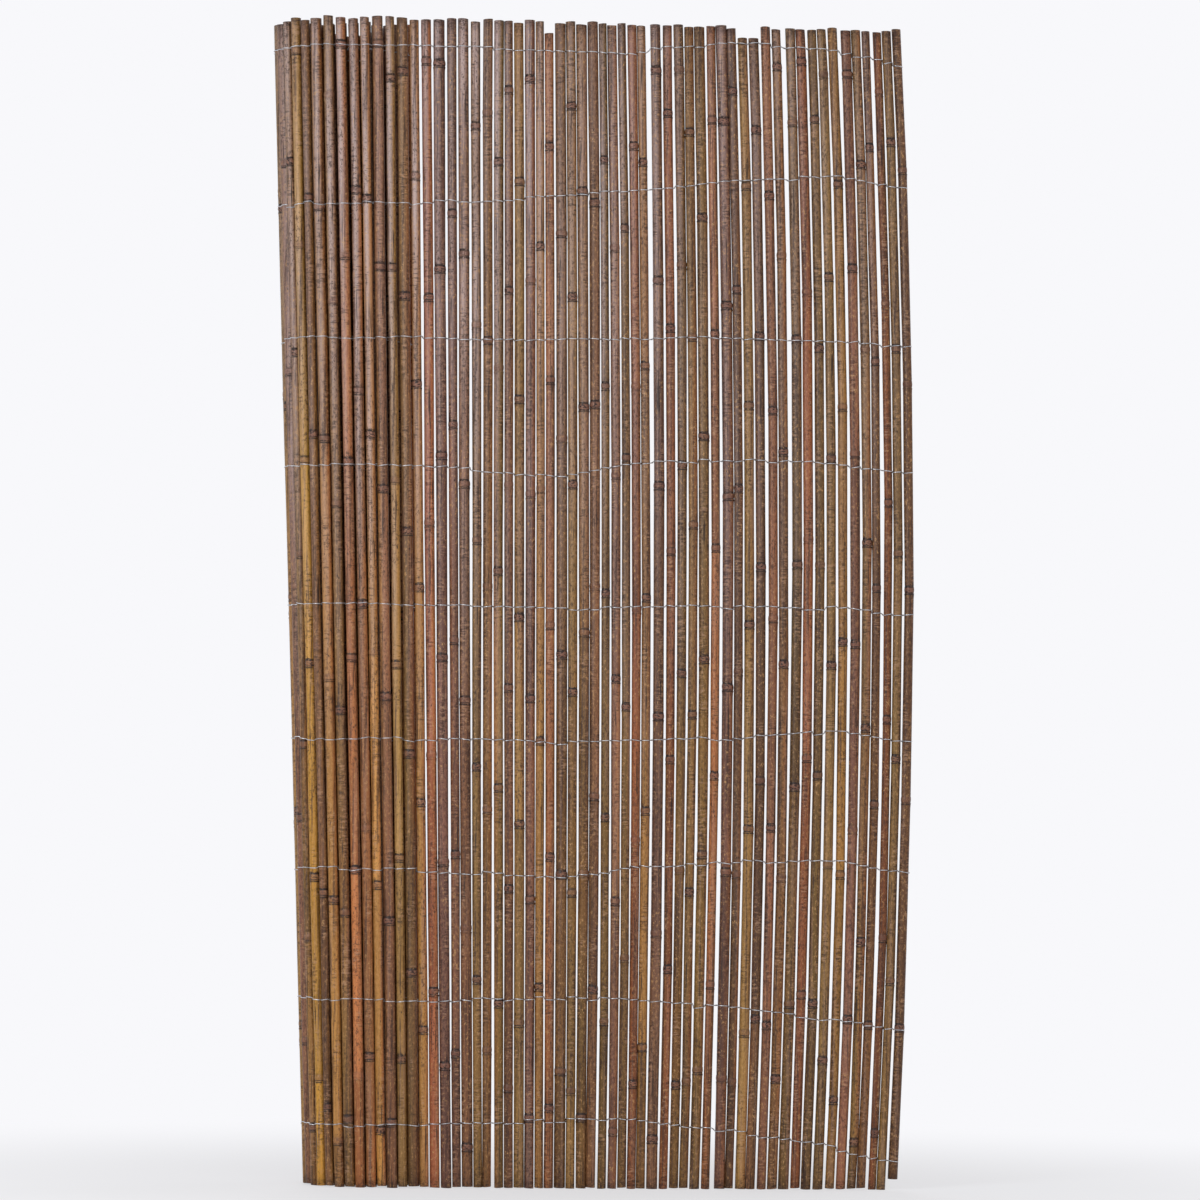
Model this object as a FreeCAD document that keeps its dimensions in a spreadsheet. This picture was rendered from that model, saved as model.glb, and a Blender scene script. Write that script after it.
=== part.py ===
"""A bamboo fence panel, partly unrolled: whole canes stood side by side and bound by rows of wire.

Plan view in the layout: the panel's front face lies on y = 0 and runs to +x from the roll's front,
at x = 0. There the sheet turns off to the left and winds up behind itself.
"""
import FreeCAD, Part

import math
import os
import random

SIZES = (
    # the canes
    ("cane_length", 1000.0, "longest cane, foot to top"),
    ("cane_diameter", 8.35, "mean diameter, measured between two nodes"),
    ("diameter_spread", 0.13, "share by which single canes are thinner or thicker"),
    ("cane_taper", 0.07, "share of the diameter lost from one end to the other"),
    ("node_swell", 0.3, "how far the ring at a node stands out"),
    ("node_step", 6.0, "height over which a node falls back to the plain cane"),
    ("internode", 182.0, "mean distance between two nodes"),
    ("ragged_top", 3.0, "most that an ordinary cane falls short of the longest"),
    ("short_top", 11.0, "what the few short canes lack"),
    ("ragged_foot", 1.5, "most that an ordinary foot hangs clear of the floor"),
    ("raised_foot", 9.0, "how far the last cane hangs clear of the floor"),
    # the sheet
    ("panel_cane_count", 43, "canes in the unrolled panel, clear of the roll"),
    ("front_cane_count", 7, "canes that run past the front of the roll"),
    ("cane_gap", 0.24, "mean gap between two neighbours where they come nearest"),
    ("gap_spread", 0.7, "share by which single gaps are narrower or wider"),
    ("gap_growth", 0.9, "share by which gaps are narrower at the roll and wider at the free end"),
    ("wide_gap", 3.4, "the gap of the few canes that stand further apart at the top"),
    ("fan_share", 0.165, "how much wider the roll is at the top than at the foot"),
    ("fan_reach", 108.0, "length of the sheet before the roll that widens with it"),
    ("end_bow", 13.0, "how far the last cane bows outwards at mid-height"),
    ("sheet_lean", 10.0, "how far the tops stand off towards the rolled end"),
    # the roll
    ("roll_radius", 55.8, "outer radius of the roll at the foot"),
    ("outer_quarters", 3.5, "quarter turns laid as separate canes"),
    ("core_radius", 28.0, "radius at which the winding of the inner turns ends"),
    ("ridge_neck", 0.4, "depth left between two ridges, as a share of a ridge"),
    # the binding
    ("wire_size", 0.9, "side of a wire strand"),
    ("wire_bend_count", 16, "straight runs of a wire round the outer turn"),
    ("wire_row_count", 9, "rows of binding wire"),
    ("wire_foot", 53.0, "lowest row above the floor"),
    ("wire_top", 25.0, "top row below the tops"),
    ("top_row_step", 1.2, "step up to the top row, as a share of the other steps"),
    ("droop_start", 205.0, "length of the sheet before the roll where the rows lie level"),
    ("wire_droop", 28.0, "how far the lowest row sinks towards the free end"),
    ("droop_fade", 0.72, "share of the droop left from one row to the next above"),
    ("seat", 0.05, "play between a wire and the canes"),
)
SIDES = 6
QUARTER = math.pi / 2
SHORT_CANES = (11, 29, 30)
OPEN_AFTER = (20, 32)

doc = FreeCAD.newDocument("bamboo_fence")
sheet = doc.addObject("Spreadsheet::Sheet", "Sizes")
for row, (alias, value, meaning) in enumerate(SIZES, start=1):
    sheet.set(f"A{row}", alias)
    sheet.set(f"B{row}", str(value))
    sheet.set(f"C{row}", meaning)
    sheet.setAlias(f"B{row}", alias)
doc.recompute()


def size(alias):
    return float(sheet.get(alias))


# sizes that follow from the sheet
LENGTH = size("cane_length")
WIRE = size("wire_size")
SEAT = size("seat")
FLAT = math.cos(math.pi / SIDES)
THICKEST = size("cane_diameter") * (1 + size("diameter_spread")) * (1 + size("cane_taper") / 2)
SHEET_DEPTH = SEAT + (THICKEST + 2 * size("node_swell")) * FLAT
TURN_PITCH = SHEET_DEPTH + 2 * (WIRE + SEAT)


class Cane:
    """One cane: its thickness, its nodes and its place on the sheet's outer face."""

    def __init__(self, name, plain=False):
        chance = random.Random(name)
        self.thickness = 1 + size("diameter_spread") * chance.uniform(-1, 1)
        self.taper = size("cane_taper") * chance.choice((-1, 1))
        self.gap = size("cane_gap") * (1 + size("gap_spread") * chance.uniform(-1, 1))
        self.top_gap = size("cane_gap") * (1 + size("gap_spread") * chance.uniform(-1, 1))
        self.foot = size("ragged_foot") * max(0.0, chance.uniform(-1, 1))
        self.top = LENGTH - size("ragged_top") * chance.random()
        self.nodes = [] if plain else self.spaced_nodes(chance)

    def spaced_nodes(self, chance):
        """Heights of the rings, from a first one just above the foot."""
        pitch = size("internode") * chance.uniform(0.9, 1.1)
        nodes = []
        level = pitch * chance.uniform(0.15, 1.0)
        while level < self.top - 3 * size("node_step"):
            nodes.append(level)
            level += pitch * chance.uniform(0.92, 1.08)
        return nodes

    def girth(self, level):
        """Thickness at a height, as a share of the mean."""
        return self.thickness * (1 + self.taper * (level / LENGTH - 0.5))

    def widest(self):
        """Largest radius anywhere on the cane, nodes included."""
        thickest = self.thickness * (1 + abs(self.taper) / 2)
        return thickest * size("cane_diameter") / 2 + size("node_swell")

    def clearance(self, neighbour):
        """Distance between two upright canes' middles at which they just touch somewhere."""
        outlines = [list(zip(*cane.outline())) for cane in (self, neighbour)]
        levels = [level for outline in outlines for level in outline[0]]
        return max(sum(between(level, *outline) for outline in outlines) for level in levels)

    def outline(self):
        """Heights that shape the cane, each with the radius there."""
        plain = size("cane_diameter") / 2
        return [(level, plain * self.girth(level) + size("node_swell") * swell) for level, swell in self.stations()]

    def stations(self):
        """Heights that shape the cane, each with its share of the node's swell."""
        levels = [(self.foot, 0)]
        for node in self.nodes:
            levels.append((node, 1))
            levels.append((node + size("node_step"), 0))
        levels.append((self.top, 0))
        return levels

    def stand(self, face, turn, sway=0.0):
        """Takes its place: a point on the sheet's outer face, the turn there and its own lean."""
        self.face = face
        self.turn = turn
        self.sway = sway

    def axis(self, level):
        """Middle of the cane at a height."""
        face = fanned(self.face, level) - outward(self.turn) * (self.widest() * FLAT + SEAT)
        return face + FreeCAD.Vector(self.sway * level / LENGTH, 0, level)


def between(level, levels, values):
    """A value at a height, on straight lines through the values at other heights."""
    for low, high, start, end in zip(levels, levels[1:], values, values[1:]):
        if low <= level <= high:
            return start + (end - start) * (level - low) / (high - low)
    return values[0] if level < levels[0] else values[-1]


def fanned(face, level):
    """Moves a point of the sheet's outer face at the foot to where the face is at a height."""
    rise = level / LENGTH
    x, y = face.x, face.y
    lean = size("sheet_lean") * rise
    if x < size("fan_reach"):
        spread = 1 + size("fan_share") * rise
        return FreeCAD.Vector(size("fan_reach") + (x - size("fan_reach")) * spread - lean, y * spread, 0)
    share = (x - size("fan_reach")) / (free_end - size("fan_reach"))
    return FreeCAD.Vector(x + size("end_bow") * share * 4 * rise * (1 - rise) - lean, y, 0)


def quarter_arc(index):
    """Centre and radius of one quarter of the winding outer face, at the foot."""
    step = TURN_PITCH / 4
    shifts = ((0, 0), (-1, 0), (-1, 1), (0, 1))
    across, back = shifts[index % 4]
    centre = FreeCAD.Vector(across * step, size("roll_radius") + back * step, 0)
    return centre, size("roll_radius") - index * step


def wound(turn):
    """Point of the winding outer face where the sheet has turned by this angle."""
    centre, radius = quarter_arc(int(turn // QUARTER))
    return centre + outward(turn) * radius


def outward(turn):
    return FreeCAD.Vector(-math.sin(turn), -math.cos(turn), 0)


def advance(turn, distance, depth):
    """The angle a distance further on, measured along a line this deep in the sheet."""
    _, radius = quarter_arc(int(turn // QUARTER))
    return turn + distance / (radius - depth)


def polygon(name, sides, circumradius, centre, rotation):
    ring = doc.addObject("Part::RegularPolygon", name)
    ring.Polygon = sides
    ring.setExpression("Circumradius", circumradius)
    ring.Placement = FreeCAD.Placement(centre, rotation)
    return ring


def lofted(label, sections):
    solid = doc.addObject("Part::Loft", label)
    solid.Sections = sections
    solid.Solid = True
    solid.Ruled = True
    solid.Linearize = True
    return solid


def cane_solid(label, cane):
    """A cane as six flat sides that flare to each node and fall back above it."""
    upright = FreeCAD.Rotation(FreeCAD.Vector(0, 0, 1), -math.degrees(cane.turn))
    rings = []
    for level, swell in cane.stations():
        radius = f"Sizes.cane_diameter / 2 * {cane.girth(level):.5f} + Sizes.node_swell * {swell}"
        rings.append(polygon(f"{label}_ring", SIDES, radius, cane.axis(level), upright))
    return lofted(label, rings)


def group(label, solids):
    """Like pieces that share one node, each a solid of its own."""
    pieces = doc.addObject("Part::Compound", label)
    pieces.Links = solids
    return pieces


# the straight part of the sheet, from the roll's front to the free end
straight = []
straight_count = int(size("front_cane_count") + size("panel_cane_count"))
reach = 0.0
sway = 0.0
for number in range(1, straight_count + 1):
    panel_number = number - int(size("front_cane_count"))
    cane = Cane(f"straight {number}")
    looseness = 1 + size("gap_growth") * (2 * number / straight_count - 1)
    cane.gap *= looseness
    cane.top_gap *= looseness
    if panel_number in SHORT_CANES:
        cane.top = LENGTH - size("short_top")
    if panel_number == int(size("panel_cane_count")):
        cane.top = LENGTH
        cane.foot = size("raised_foot")
    if straight:
        reach += straight[-1].gap + straight[-1].clearance(cane)
        sway += straight[-1].top_gap - straight[-1].gap
    cane.stand(FreeCAD.Vector(reach, 0, 0), 0.0, sway)
    if panel_number in OPEN_AFTER:
        cane.top_gap = size("wide_gap")
    straight.append(cane)
free_end = reach

# the outer turn of the roll, where only the left front shows its nodes
wound_canes = []
turn = 0.0
last = straight[0]
while True:
    cane = Cane(f"wound {len(wound_canes)}", plain=turn > QUARTER)
    turn = advance(turn, last.gap + last.widest() + cane.widest(), SHEET_DEPTH / 2)
    if turn > size("outer_quarters") * QUARTER:
        break
    cane.stand(wound(turn), turn)
    wound_canes.append(cane)
    last = cane

parts = []
front = straight[: int(size("front_cane_count"))]
panel = straight[int(size("front_cane_count")) :]
for number, cane in enumerate(panel, start=1):
    parts.append(cane_solid(f"cane_{number:02d}", cane))
parts.append(group("roll_front_canes", [cane_solid("roll_front_cane", cane) for cane in front]))
parts.append(group("roll_outer_canes", [cane_solid("roll_outer_cane", cane) for cane in wound_canes]))


def ridged_outline(level):
    """Outline of the inner turns at a height: a wall with a ridge for each cane."""
    ridge = size("cane_diameter") / 2 * FLAT
    pitch = size("cane_diameter") + 2 * size("node_swell") + size("cane_gap")
    outer, inner = [], []
    angle = advance(last.turn, SEAT + last.widest(), SHEET_DEPTH / 2)
    on_ridge = True
    while quarter_arc(int(angle // QUARTER))[1] > size("core_radius"):
        half_depth = ridge if on_ridge else ridge * size("ridge_neck")
        middle = wound(angle) - outward(angle) * (ridge + SEAT)
        outer.append(middle + outward(angle) * half_depth)
        inner.append(middle - outward(angle) * half_depth)
        angle = advance(angle, pitch / 2, SHEET_DEPTH / 2)
        on_ridge = not on_ridge
    lift = FreeCAD.Vector(0, 0, level)
    return [fanned(point, level) + lift for point in outer + inner[::-1]]


def closed_polygon(name, points):
    outline = doc.addObject("Part::Polygon", name)
    outline.Nodes = points
    outline.Close = True
    return outline


inner_foot = closed_polygon("roll_inner_foot", ridged_outline(0.0))
inner_top = closed_polygon("roll_inner_top", ridged_outline(LENGTH - size("ragged_top")))
parts.append(lofted("roll_inner_turns", [inner_foot, inner_top]))


def strand(name, points):
    """A straight-run wire strand through these points, square in section."""
    facing = FreeCAD.Rotation(FreeCAD.Vector(0, 1, 0), 90)
    squared = facing.multiply(FreeCAD.Rotation(FreeCAD.Vector(0, 0, 1), 45))
    half_diagonal = "Sizes.wire_size / sqrt(2)"
    return lofted(name, [polygon(f"{name}_section", 4, half_diagonal, point, squared) for point in points])


def band_points(level, offset):
    """Corners of a strand round the outer turn, whose straight runs touch it at their middles."""
    spread = 1 + size("fan_share") * level / LENGTH
    bends = int(size("wire_bend_count"))
    step = size("outer_quarters") * QUARTER / bends
    corners = [0.0] + [(bend + 0.5) * step for bend in range(bends)] + [bends * step]
    points = []
    for angle in corners:
        centre, radius = quarter_arc(int(angle // QUARTER))
        stretch = 1 if angle in (corners[0], corners[-1]) else 1 / math.cos(step / 2)
        middle = fanned(centre, level) + FreeCAD.Vector(0, 0, level)
        points.append(middle + outward(angle) * ((radius * spread + offset) * stretch))
    return points


def roll_band(name, level):
    """The strand that lies round the outer turn: drawn in plan and raised by its thickness."""
    lift = FreeCAD.Vector(0, 0, -WIRE / 2)
    outline = band_points(level, 0.0) + band_points(level, WIRE)[::-1]
    band = doc.addObject("Part::Extrusion", name)
    band.Base = closed_polygon(f"{name}_plan", [point + lift for point in outline])
    band.DirMode = "Custom"
    band.Dir = FreeCAD.Vector(0, 0, 1)
    band.Solid = True
    band.setExpression("LengthFwd", "Sizes.wire_size")
    return band


def binding_wire(label, level, droop):
    """One row: a strand before the canes and round the roll, one behind, and the loop at the end."""
    last_cane = panel[-1]
    start = fanned(FreeCAD.Vector(0, 0, 0), level).x
    hinge = size("droop_start")
    knee = (hinge + free_end) / 2
    low = level - droop
    end = last_cane.axis(low).x + last_cane.widest() + SEAT + WIRE
    runs = ((start, level), (hinge, level), (knee, level - droop / 4), (end, low))
    front_y = -WIRE / 2
    back_y = SHEET_DEPTH + SEAT + WIRE / 2
    before = strand(f"{label}_front", [FreeCAD.Vector(x, front_y, z) for x, z in runs])
    behind = strand(f"{label}_back", [FreeCAD.Vector(x, back_y, z) for x, z in runs])
    loop = doc.addObject("Part::Box", f"{label}_loop")
    loop.setExpression("Length", "Sizes.wire_size")
    loop.setExpression("Height", "Sizes.wire_size")
    loop.Width = back_y - front_y
    loop.Placement.Base = FreeCAD.Vector(end - WIRE, front_y, low - WIRE / 2)
    row_of_wire = doc.addObject("Part::MultiFuse", label)
    row_of_wire.Shapes = [roll_band(f"{label}_roll", level), before, behind, loop]
    row_of_wire.Refine = True
    return row_of_wire


row_count = int(size("wire_row_count"))
row_pitch = (LENGTH - size("wire_top") - size("wire_foot")) / (row_count - 2 + size("top_row_step"))
row_levels = [size("wire_foot") + row * row_pitch for row in range(row_count - 1)]
row_levels.append(LENGTH - size("wire_top"))
for row, level in enumerate(row_levels):
    droop = size("wire_droop") * size("droop_fade") ** row
    parts.append(binding_wire(f"binding_wire_{row + 1}", level, droop))

doc.recompute()

# the whole is set down with its footprint's middle at the origin
extent = FreeCAD.BoundBox()
for part in parts:
    extent.add(part.Shape.optimalBoundingBox(False))
shift = FreeCAD.Vector(-extent.Center.x, -extent.Center.y, -extent.ZMin)
for part in parts:
    part.Placement.Base = shift
doc.recompute()

for item in doc.Objects:
    if "Invalid" in item.State or "Error" in item.State:
        raise RuntimeError(f"{item.Label} did not compute: {item.State}")
for part in parts:
    if part.Shape.isNull() or not part.Shape.isValid() or not part.Shape.Solids:
        raise RuntimeError(f"{part.Label} has no sound shape")

os.makedirs("parts", exist_ok=True)
for part in parts:
    part.Shape.exportStep(os.path.join("parts", f"{part.Label}.step"))
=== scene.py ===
"""Bamboo fence panel, dressed: round canes with their nodes, twisted binding wire and a plain stage."""
import math
import random

import bmesh
import bpy
import numpy as np
from bpy.props import FloatProperty, FloatVectorProperty, IntProperty, PointerProperty
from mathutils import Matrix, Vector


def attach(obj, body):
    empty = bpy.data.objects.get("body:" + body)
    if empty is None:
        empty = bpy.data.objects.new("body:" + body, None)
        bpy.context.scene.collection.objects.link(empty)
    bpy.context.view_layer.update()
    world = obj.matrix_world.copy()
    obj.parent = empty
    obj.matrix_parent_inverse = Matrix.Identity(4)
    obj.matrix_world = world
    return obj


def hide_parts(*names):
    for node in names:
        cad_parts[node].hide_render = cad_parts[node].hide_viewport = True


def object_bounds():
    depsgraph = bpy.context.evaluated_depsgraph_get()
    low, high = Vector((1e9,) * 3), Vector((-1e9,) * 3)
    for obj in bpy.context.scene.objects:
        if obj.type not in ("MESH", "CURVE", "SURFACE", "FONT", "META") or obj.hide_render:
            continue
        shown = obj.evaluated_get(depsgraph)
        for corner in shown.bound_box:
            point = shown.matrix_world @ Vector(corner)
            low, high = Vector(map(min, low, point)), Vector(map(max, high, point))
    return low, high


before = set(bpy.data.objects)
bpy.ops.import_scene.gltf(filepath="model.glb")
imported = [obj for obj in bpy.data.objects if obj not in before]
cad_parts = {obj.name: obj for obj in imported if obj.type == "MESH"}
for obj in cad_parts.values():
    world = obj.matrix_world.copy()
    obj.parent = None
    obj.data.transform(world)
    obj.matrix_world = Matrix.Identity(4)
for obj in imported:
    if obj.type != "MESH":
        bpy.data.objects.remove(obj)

bl_info = {
    "name": "Bamboo Fence Panel",
    "version": (1, 0, 0),
    "blender": (4, 5, 0),
    "location": "View3D > Sidebar > Fence",
    "description": "Round canes with nodes, twisted binding wire and a plain stage",
    "category": "Object",
}

CAD_BOX = [list(corner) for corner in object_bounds()]
MM = 0.001

# How the CAD's corners are sorted into canes
CORNER_DECIMALS = 5
LEVEL_DECIMALS = 4
NODE_RISE = 0.2 * MM  # a ring of corners that stands out by more than this is a node

# The blank that every cane is copied from
BLANK_LENGTH = 1.0
BLANK_RADIUS = 4.2 * MM
BELOW_NODE = 9 * MM
ABOVE_NODE = 12 * MM
NODE_PROFILE = (  # height from the scar and swell there, in millimetres
    (-9.0, 0.0), (-4.5, 0.02), (-2.0, 0.10), (-0.8, 0.26), (-0.2, 0.32), (0.3, -0.04), (1.2, 0.10),
    (2.6, 0.32), (4.0, 0.30), (5.4, 0.12), (6.2, -0.08), (8.0, 0.03), (12.0, 0.0),
)
RINGS_BETWEEN_NODES = 5
RING_MERGE = 0.01 * MM
LEVEL_MATCH = 0.05 * MM  # a point this near a level lies on it
RIM_SHARE = 0.99  # of the blank's radius, beyond which a point is on the rim
HOLLOW_SHARE = 0.85  # of the blank's radius, within which a face is cut wood
CUT_FACING = 0.8  # how far a cut's face points along the cane, at least
SKIN_SHARE = 0.8  # of the blank's radius, from which scars show
RIM_BEVEL = 0.8  # share of the rim that is rounded off
PITH_TAPER = 0.7  # share of its width that the hollow keeps at its bottom
SMOOTH_ANGLE = math.radians(50)

# Driving sizes of the CAD that the inner turns of the roll follow
CANE_DIAMETER = 8.35 * MM
DIAMETER_SPREAD = 0.13
CANE_TAPER = 0.07
NODE_SWELL = 0.3 * MM
INTERNODE = 182 * MM
CANE_GAP = 0.24 * MM
CAD_WIRE = 0.9 * MM
SEAT = 0.05 * MM
ROLL_RADIUS = 55.8 * MM
CORE_RADIUS = 28 * MM
FAN_SHARE = 0.165
FAN_REACH = 108 * MM
SHEET_LEAN = 10 * MM

# The winding of the roll, as the CAD lays its six-sided canes at the foot
QUARTER = math.pi / 2
THICKEST = CANE_DIAMETER * (1 + DIAMETER_SPREAD) * (1 + CANE_TAPER / 2)
SHEET_DEPTH = SEAT + (THICKEST + 2 * NODE_SWELL) * math.cos(math.pi / 6)
TURN_PITCH = SHEET_DEPTH + 2 * (CAD_WIRE + SEAT)
CORE_CANE_PITCH = CANE_DIAMETER + 2 * NODE_SWELL + CANE_GAP
CORE_CANE_RADIUS = 4.0 * MM
CORE_DROP = 3 * MM  # how much shorter the canes of the inner turns are, at least

# How single canes differ from the CAD's
ROLL_TOP_GIRTH = 1.07
PANEL_FOOT_GIRTH = (1.03, 0.965)  # share of the CAD's girth, next to the roll and at the free end
PANEL_TOP_GIRTH = (1.055, 0.95)
SWAY = 1.1 * MM  # how far a cane of the panel leans to one side
LEAN_TRIES = 60
TOP_INTERNODE = 18 * MM  # the least length above a cane's last node
KNOTS = np.linspace(0, BLANK_LENGTH, 9)  # heights between which leans and tones run evenly
WAVE_SHARE = 0.012  # by which a cane's girth varies along its length

# Scars on a cane
SCAR_MIDDLE = 2 * MM
SCAR_SPREAD = 3 * MM
BUD_WIDTH = 0.45  # in radians round the cane, like the groove's
GROOVE_WIDTH = 0.5
GROOVE_DEPTH = 0.18 * MM
GROOVE_START = 8 * MM
GROOVE_END = 90 * MM
GROOVE_FADE = 60 * MM
CUT_REACH = 1 * MM
MARK_REACH = 20 * MM  # how far from a node or an end the colour still knows of it

# Tones of the canes from the roll's left flank to the free end
OUTER_TONES = ("ember", "olive", "ochre", "umber", "straw", "olive", "umber", "khaki", "olive")
FRONT_TONES = ("umber", "ochre", "rosy", "khaki", "olive", "ochre", "brick")
PANEL_TONES = (
    "mauve", "mauve", "rosy", "khaki", "umber", "olive", "rosy", "khaki", "mauve", "ochre",
    "ember", "umber", "khaki", "olive", "umber", "olive", "mauve", "olive", "rust", "ochre",
    "mauve", "rust", "olive", "khaki", "olive", "ember", "mauve", "umber", "khaki", "umber",
    "rosy", "umber", "olive", "rust", "olive", "khaki", "ochre", "mauve", "olive", "umber",
    "rust", "khaki", "umber",
)
FLANK_TONES = ("rust", "ochre", "umber", "rosy", "mauve", "ember")
FLANK_SIDES = (-0.3, -0.3, -0.6, -2.6)  # where round a cane its second tone runs, in radians
FLANK_STRIP = (1.6, 0.6)  # steepness and cutoff of that strip, like the painted sheen's below
ROLL_LIGHTNESS = 1.36
SHADE_CONTRAST = (1.7, 1.0)  # of the internodes, at the foot and at the top

# Painted sheen, mostly high up and near the roll: a pale strip as a painted highlight, with painted shade
# darkening the cane there
SHEEN_PLACES = (-0.2, 0.0, 0.25)  # along the fence, from the roll to the free end
SHEEN_SHARES = (1.35, 0.72, 0.3)
SHEEN_RISE = 1.8
SHEEN_LOSS = 0.65
# how much darker a cane is painted where the painted sheen falls, as painted shade
PAINTED_SHADE = 0.17
SHEEN_SIDES = (-2.25, -1.75)  # where round a cane the painted sheen runs, in radians
SHEEN_STRIP = (3.0, 1.9)
SHEEN_STRENGTH = 0.95
SHEEN_MOST = 0.9

# Height of each wire row, the lowest first, and its rise at some places along the fence, in millimetres
WIRE_STATIONS = (-145, -25, 35, 120, 207, 258)
WIRE_ROWS = (
    (54, (-1, 4, 4, -4, -18, -30)),
    (158, (1, 4, 2, -4, -13, -21)),
    (270, (0, -4, 3, 9, 12, 2)),
    (381, (0, -2, 0, 4, 12, 3)),
    (496, (0, -1, 0, 2, 2, -3)),
    (614, (1, -6, 7, 10, 7, 2)),
    (725, (-1, 0, 1, 5, 3, 0)),
    (846, (-7, 2, 8, 19, 24, 16)),
    (975, (-1, 0, -1, 9, 7, -8)),
)
WIRE_SWINGS = (-65, -38, -13, 13, 38, 65)  # where a strand bends as it passes a cane, in degrees
WIRE_JUMPS = 0.45  # share of the canes at which a row jumps
CROSSING_RISE = 0.9  # share of a strand's radius by which it passes over the other in a gap

# The stage, in metres
FLOOR_RADIUS = 14
FLOOR_FADE = (0.15, 1.1)  # from the middle of the floor, where the backdrop takes over
FLOOR_GLOW = (0.6, 1.0)  # share of the backdrop there
LAMPS = (  # name, place, what it points at, width and whether it shows in shiny things
    ("key", (-1.25, -1.5, 0.9), (-0.1, 0, 0.62), 0.6, True),
    ("fill", (0.4, -3.3, 0.4), (0.05, 0, 0.25), 2.8, False),
    ("rear", (0.0, 3.6, 1.6), (0, 0, 0.5), 1.6, False),
    ("side", (3.2, 1.4, 1.2), (0, 0, 0.5), 1.6, False),
)
SENSOR_WIDTH = 36
FARTHEST = 100


def srgb(red, green, blue):
    """A colour as a picture shows it, turned to the linear values that shaders take."""
    return tuple(((c / 255 + 0.055) / 1.055) ** 2.4 for c in (red, green, blue))


# What a user would change


def tone(name, description, *colour):
    return FloatVectorProperty(
        name=name, description=description, subtype="COLOR", size=3, min=0, max=1, default=srgb(*colour)
    )


def length(name, description, default):
    return FloatProperty(name=name, description=description, default=default, unit="LENGTH")


def power(name, description, default):
    return FloatProperty(name=name, description=description, default=default, unit="POWER")


def tilt(name, description, degrees):
    return FloatProperty(name=name, description=description, default=math.radians(degrees), subtype="ANGLE")


def count(name, description, default, least):
    return IntProperty(name=name, description=description, default=default, min=least)


class CaneSettings(bpy.types.PropertyGroup):
    """Shape of the canes."""

    sides: count("Sides", "Flat strips round a cane", 14, 8)
    core_sides: count("Core sides", "Strips round a cane inside the roll", 10, 6)
    wall: length("Wall", "Thickness of the cane's wall at the cut", 2.1 * MM)
    pith_depth: length("Pith depth", "How deep the hollow shows at a cut", 9 * MM)
    rim: length("Rim", "Worn edge of a cut", 0.35 * MM)
    crook: length("Crook", "How far a cane strays from straight at a node", 0.4 * MM)
    oval: FloatProperty(name="Oval", description="How far out of round", default=0.03, subtype="FACTOR")
    bud: length("Bud", "Height of a bud scar on a node", 0.32 * MM)
    slant: length("Slant", "How far a node's ring slants", 0.6 * MM)
    cut_slant: length("Cut slant", "How far a cut is off square", 0.7 * MM)


class ToneSettings(bpy.types.PropertyGroup):
    """Colours of weathered bamboo and of the wire."""

    straw: tone("Straw", "Bright yellow ochre", 176, 132, 48)
    ochre: tone("Ochre", "Golden brown", 158, 112, 55)
    khaki: tone("Khaki", "Greyed tan", 146, 112, 62)
    olive: tone("Olive", "Olive brown", 119, 89, 44)
    umber: tone("Umber", "Dark brown", 106, 72, 42)
    rosy: tone("Rosy", "Rosy brown", 143, 94, 66)
    mauve: tone("Mauve", "Greyed red-brown", 114, 77, 64)
    rust: tone("Rust", "Red-brown", 146, 83, 47)
    ember: tone("Ember", "Orange tan", 168, 103, 59)
    brick: tone("Brick", "Dull brick", 128, 72, 50)
    # Painted sheen: a pale colour that stands in for the key lamp's reflection down the lit side of the canes
    painted_sheen: tone("Painted sheen", "Painted highlight down the lit side", 188, 166, 163)
    streak: tone("Streak", "Dark streaks along the fibres", 58, 36, 29)
    film: tone("Film", "Pale streaks along the fibres", 166, 132, 116)
    stain: tone("Stain", "Dark mottling", 60, 40, 31)
    fleck: tone("Fleck", "Bright mottling", 188, 144, 94)
    crack: tone("Crack", "Pale edges of cracks across the fibres", 178, 140, 112)
    crease: tone("Crease", "Dark edges of cracks across the fibres", 52, 34, 28)
    soot: tone("Soot", "Lines at a node", 34, 22, 20)
    scar: tone("Scar", "Band between the lines of a node", 128, 88, 74)
    blotch: tone("Blotch", "Ragged stain at a node", 40, 25, 22)
    dirt: tone("Dirt", "Soiled skin at the ends", 48, 32, 27)
    cut: tone("Cut", "Sawn end of a cane", 176, 140, 96)
    pore: tone("Pore", "Fibre ends in a cut", 92, 62, 40)
    aged: tone("Aged", "Greyed part of a cut", 110, 86, 66)
    zinc: tone("Zinc", "Binding wire", 214, 215, 219)
    dull_zinc: tone("Dull zinc", "Binding wire where it isn't rubbed", 128, 130, 136)


class WireSettings(bpy.types.PropertyGroup):
    """Binding wire."""

    thickness: length("Thickness", "Thickness of a strand", 0.72 * MM)
    lie: length("Lie", "How far a strand slopes as it crosses a cane", 0.8 * MM)
    step: length("Step", "How far a row jumps from one cane to the next", 1.7 * MM)


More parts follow.
